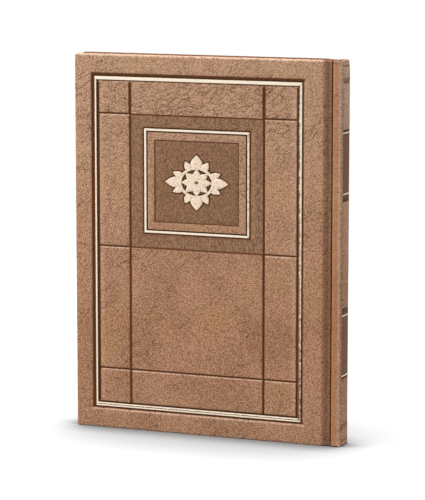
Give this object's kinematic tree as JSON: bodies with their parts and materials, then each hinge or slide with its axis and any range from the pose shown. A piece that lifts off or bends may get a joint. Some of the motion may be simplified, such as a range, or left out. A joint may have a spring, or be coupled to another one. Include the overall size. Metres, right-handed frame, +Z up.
{
  "type": "hard-bound devotional book",
  "caption": "Hard-bound devotional book in a tooled tan leatherette case. Both covers open on their joints and the sewn leaves fan out with them.",
  "frame": {"origin": "on the surface that the book stands on, under the middle of the closed book's box", "axes": "+Z up, from the tail to the head; +X from the fore edge to the spine; -Y out of the front cover, +Y out of the back cover"},
  "size_m": [0.18, 0.0154, 0.24],
  "materials": {
    "cover_leather": "satin",
    "cream_foil": "satin",
    "binders_board": "matte",
    "endpaper": "matte",
    "book_paper": "matte",
    "lining_paper": "matte",
    "binding_cloth": "matte"
  },
  "bodies": {
    "spine_and_sewn_block": {"spine_skin": "cover_leather", "spine_stiffener": "binders_board", "spine_foil_line_1": "cream_foil", "spine_foil_line_2": "cream_foil", "spine_foil_line_3": "cream_foil", "spine_foil_line_4": "cream_foil", "front_joint_skin": "cover_leather", "back_joint_skin": "cover_leather", "front_endpaper_fold": "endpaper", "section_1_fold": "book_paper", "section_2_fold": "book_paper", "section_3_fold": "book_paper", "section_4": "book_paper", "section_5": "book_paper", "section_6_fold": "book_paper", "section_7_fold": "book_paper", "section_8_fold": "book_paper", "back_endpaper_fold": "endpaper", "mull": "binding_cloth", "spine_lining": "lining_paper", "headband": "binding_cloth", "tailband": "binding_cloth"},
    "front_cover": {"front_board": "binders_board", "front_cover_skin": "cover_leather", "front_pastedown": "endpaper", "front_border_foil": "cream_foil", "front_plaque_foil": "cream_foil", "front_centrepiece_foil": "cream_foil"},
    "back_cover": {"back_board": "binders_board", "back_cover_skin": "cover_leather", "back_pastedown": "endpaper"},
    "front_flyleaf_leaf": {"front_flyleaf": "endpaper"},
    "section_1_sheaf": {"section_1_leaves": "book_paper"},
    "section_2_sheaf": {"section_2_leaves": "book_paper"},
    "section_3_sheaf": {"section_3_leaves": "book_paper"},
    "section_6_sheaf": {"section_6_leaves": "book_paper"},
    "section_7_sheaf": {"section_7_leaves": "book_paper"},
    "section_8_sheaf": {"section_8_leaves": "book_paper"},
    "back_flyleaf_leaf": {"back_flyleaf": "endpaper"}
  },
  "joints": [
    {"name": "front_cover_hinge", "type": "hinge", "parent": "spine_and_sewn_block", "child": "front_cover", "pos_m": [0.0828, -0.00771, 0.12], "axis": [0, 0, 1], "range_deg": [0, 170], "deforming": ["front_joint_skin"]},
    {"name": "back_cover_hinge", "type": "hinge", "parent": "spine_and_sewn_block", "child": "back_cover", "pos_m": [0.0828, 0.00771, 0.12], "axis": [0, 0, -1], "range_deg": [0, 170], "deforming": ["back_joint_skin"]},
    {"name": "front_flyleaf_bend", "type": "hinge", "parent": "spine_and_sewn_block", "child": "front_flyleaf_leaf", "pos_m": [0.0793, -0.00441, 0.12], "axis": [0, 0, 1], "range_deg": [0, 85]},
    {"name": "section_1_bend", "type": "hinge", "parent": "spine_and_sewn_block", "child": "section_1_sheaf", "pos_m": [0.07916, -0.00422, 0.12], "axis": [0, 0, 1], "range_deg": [0, 68]},
    {"name": "section_2_bend", "type": "hinge", "parent": "spine_and_sewn_block", "child": "section_2_sheaf", "pos_m": [0.07878, -0.00316, 0.12], "axis": [0, 0, 1], "range_deg": [0, 47.6]},
    {"name": "section_3_bend", "type": "hinge", "parent": "spine_and_sewn_block", "child": "section_3_sheaf", "pos_m": [0.07869, -0.0021, 0.12], "axis": [0, 0, 1], "range_deg": [0, 27.2]},
    {"name": "section_6_bend", "type": "hinge", "parent": "spine_and_sewn_block", "child": "section_6_sheaf", "pos_m": [0.07869, 0.0021, 0.12], "axis": [0, 0, -1], "range_deg": [0, 27.2]},
    {"name": "section_7_bend", "type": "hinge", "parent": "spine_and_sewn_block", "child": "section_7_sheaf", "pos_m": [0.07878, 0.00316, 0.12], "axis": [0, 0, -1], "range_deg": [0, 47.6]},
    {"name": "section_8_bend", "type": "hinge", "parent": "spine_and_sewn_block", "child": "section_8_sheaf", "pos_m": [0.07916, 0.00422, 0.12], "axis": [0, 0, -1], "range_deg": [0, 68]},
    {"name": "back_flyleaf_bend", "type": "hinge", "parent": "spine_and_sewn_block", "child": "back_flyleaf_leaf", "pos_m": [0.0793, 0.00441, 0.12], "axis": [0, 0, -1], "range_deg": [0, 85]}
  ],
  "couplings": [
    {"joint": "front_flyleaf_bend", "follows": "front_cover_hinge", "ratio": 0.5},
    {"joint": "section_1_bend", "follows": "front_cover_hinge", "ratio": 0.4},
    {"joint": "section_2_bend", "follows": "front_cover_hinge", "ratio": 0.28},
    {"joint": "section_3_bend", "follows": "front_cover_hinge", "ratio": 0.16},
    {"joint": "back_flyleaf_bend", "follows": "back_cover_hinge", "ratio": 0.5},
    {"joint": "section_8_bend", "follows": "back_cover_hinge", "ratio": 0.4},
    {"joint": "section_7_bend", "follows": "back_cover_hinge", "ratio": 0.28},
    {"joint": "section_6_bend", "follows": "back_cover_hinge", "ratio": 0.16}
  ]
}
